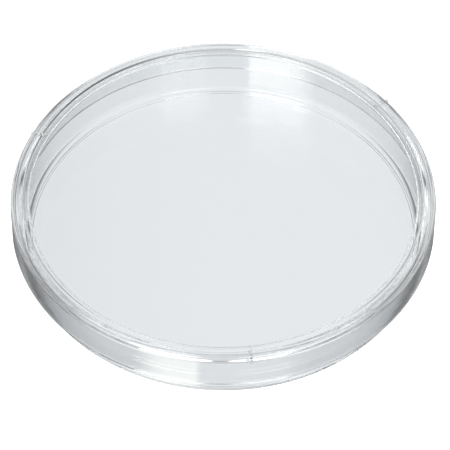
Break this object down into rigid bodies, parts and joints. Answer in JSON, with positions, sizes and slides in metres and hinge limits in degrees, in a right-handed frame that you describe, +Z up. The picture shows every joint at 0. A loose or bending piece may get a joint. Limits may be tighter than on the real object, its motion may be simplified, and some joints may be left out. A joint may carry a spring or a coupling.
{
  "type": "petri dish",
  "caption": "Clear round culture dish with a flat floor, low drafted wall and foot ring, closed by a loose vented lid with a stacking bead.",
  "frame": {"origin": "centre of the foot ring, on the plane the dish stands on", "axes": "+Z up along the axis of the dish and lid; +X and +Y across it, with the first vent lug 38.2 degrees from +X towards +Y"},
  "size_m": [0.09, 0.09, 0.0142],
  "materials": {
    "dish_polystyrene": "clear, polished",
    "lid_polystyrene": "clear, polished"
  },
  "bodies": {
    "dish": {"base_dish": "dish_polystyrene"},
    "lid": {"lid": "lid_polystyrene"}
  },
  "joints": [
    {"name": "lid_lift", "type": "slide", "parent": "dish", "child": "lid", "axis": [0, 0, 1], "range_m": [0, 0.04]}
  ]
}
